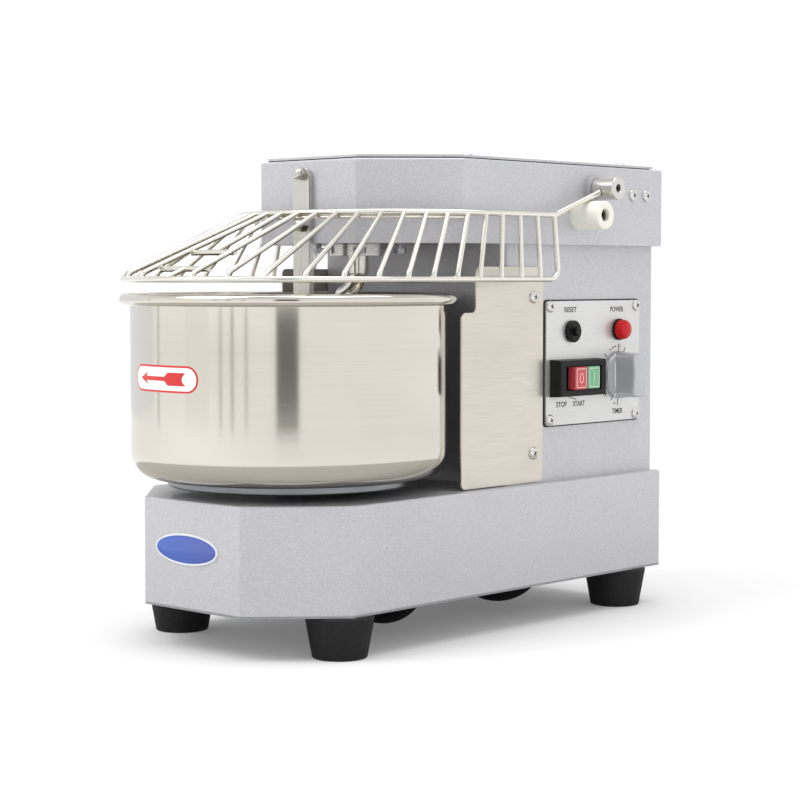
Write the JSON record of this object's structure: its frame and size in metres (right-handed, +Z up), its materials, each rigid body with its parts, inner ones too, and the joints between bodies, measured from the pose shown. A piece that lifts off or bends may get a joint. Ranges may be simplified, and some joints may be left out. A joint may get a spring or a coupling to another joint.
{
  "type": "spiral dough mixer",
  "caption": "Table-top spiral dough mixer with a turning bowl, spiral hook, tilting wire guard, breaker bar and side control panel on a painted sheet-metal body.",
  "frame": {"origin": "on the floor under the centre of the machine's bounding box", "axes": "+Z up, bowl end towards -Y, control panel facing +X"},
  "size_m": [0.2992, 0.5202, 0.4076],
  "materials": {
    "sparkle_paint": "light grey hammertone paint with fine metal flakes, satin",
    "stainless": "brushed stainless sheet",
    "polished_stainless": "spun and polished stainless",
    "chrome_wire": "bright plated wire",
    "zinc_steel": "zinc plated steel",
    "black_rubber": "matt moulded rubber",
    "black_plastic": "satin moulded plastic",
    "white_nylon": "turned nylon, satin",
    "red_plastic": "glossy moulded plastic",
    "green_plastic": "glossy moulded plastic",
    "red_lens": "translucent moulded lens",
    "silver_plastic": "silver moulded plastic",
    "blue_badge": "printed and domed resin",
    "label_film": "printed film",
    "panel_metal": "fine brushed, printed",
    "machined_steel": "machined steel",
    "cast_aluminium": "cast, as blasted",
    "motor_paint": "dark enamel",
    "seal_rubber": "foam rubber strip"
  },
  "bodies": {
    "machine": {"base_housing": "sparkle_paint", "base_bottom_plate": "zinc_steel", "column_housing": "sparkle_paint", "rear_cover": "sparkle_paint", "head_housing": "sparkle_paint", "head_lid": "sparkle_paint", "lid_seal": "seal_rubber", "pan_head_screws": "zinc_steel", "foot_front_right": "black_rubber", "foot_front_left": "black_rubber", "foot_rear_right": "black_rubber", "foot_rear_left": "black_rubber", "foot_bolts": "zinc_steel", "bearing_cap": "black_plastic", "tensioner_cap": "black_plastic", "right_guard_plate": "stainless", "left_guard_plate": "stainless", "breaker_bar": "stainless", "bar_cap_nuts": "stainless", "control_panel": "panel_metal", "panel_gasket": "black_rubber", "switch_housing": "black_plastic", "reset_breaker_body": "black_plastic", "reset_ring_nut": "black_plastic", "power_lamp_bezel": "black_plastic", "power_lamp_lens": "red_lens", "timer_body": "black_plastic", "electrical_box": "black_plastic", "badge": "blue_badge", "cable_gland": "black_plastic", "hinge_bushes": "zinc_steel", "grid_stops": "white_nylon", "stop_screws": "machined_steel", "grid_microswitch": "black_plastic", "motor_housing": "motor_paint", "gearbox_housing": "cast_aluminium", "spiral_bearing_housing": "machined_steel", "boss_bolts": "zinc_steel", "bowl_bearing_housing": "cast_aluminium", "ball_bearings": "machined_steel", "base_chain": "machined_steel", "head_chain": "machined_steel"},
    "bowl_unit": {"bowl": "polished_stainless", "turntable": "machined_steel", "bowl_sprocket": "machined_steel", "rotation_label": "label_film"},
    "spiral_unit": {"spiral_hook": "polished_stainless", "spiral_sprocket": "machined_steel"},
    "main_shaft_unit": {"main_shaft": "machined_steel", "main_gear": "machined_steel", "main_shaft_sprockets": "machined_steel"},
    "rotor_unit": {"motor_rotor": "machined_steel", "motor_fan": "black_plastic"},
    "guard_unit": {"safety_grid": "chrome_wire", "hinge_hubs": "stainless", "hub_screws": "machined_steel"},
    "stop_key": {"stop_button": "red_plastic"},
    "start_key": {"start_button": "green_plastic"},
    "reset_key": {"reset_button": "black_plastic"},
    "timer_dial": {"timer_knob": "silver_plastic"}
  },
  "joints": [
    {"name": "bowl_spin", "type": "hinge", "parent": "machine", "child": "bowl_unit", "pos_m": [0, -0.118, 0.134], "axis": [0, 0, 1], "continuous": true},
    {"name": "spiral_spin", "type": "hinge", "parent": "machine", "child": "spiral_unit", "pos_m": [0, -0.035, 0.35], "axis": [0, 0, 1], "continuous": true},
    {"name": "main_shaft_spin", "type": "hinge", "parent": "machine", "child": "main_shaft_unit", "pos_m": [0.037, 0.108, 0.2], "axis": [0, 0, 1], "continuous": true},
    {"name": "rotor_spin", "type": "hinge", "parent": "machine", "child": "rotor_unit", "pos_m": [-0.023, 0.108, 0.25], "axis": [0, 0, 1], "continuous": true},
    {"name": "guard_hinge", "type": "hinge", "parent": "machine", "child": "guard_unit", "pos_m": [0, 0.1394, 0.3815], "axis": [-1, 0, 0], "range_deg": [0, 108]},
    {"name": "stop_press", "type": "slide", "parent": "machine", "child": "stop_key", "axis": [-1, 0, 0], "range_m": [0, 0.003], "stiffness_N_per_m": 600, "springref_m": -0.002},
    {"name": "start_press", "type": "slide", "parent": "machine", "child": "start_key", "axis": [-1, 0, 0], "range_m": [0, 0.003], "stiffness_N_per_m": 600, "springref_m": -0.002},
    {"name": "reset_press", "type": "slide", "parent": "machine", "child": "reset_key", "axis": [-1, 0, 0], "range_m": [0, 0.003], "stiffness_N_per_m": 600, "springref_m": -0.002},
    {"name": "timer_turn", "type": "hinge", "parent": "machine", "child": "timer_dial", "pos_m": [0.13, 0.1908, 0.2146], "axis": [1, 0, 0], "range_deg": [-285, 40]}
  ],
  "couplings": [
    {"joint": "main_shaft_spin", "follows": "bowl_spin", "ratio": 5},
    {"joint": "spiral_spin", "follows": "bowl_spin", "ratio": 5},
    {"joint": "rotor_spin", "follows": "bowl_spin", "ratio": -40}
  ]
}
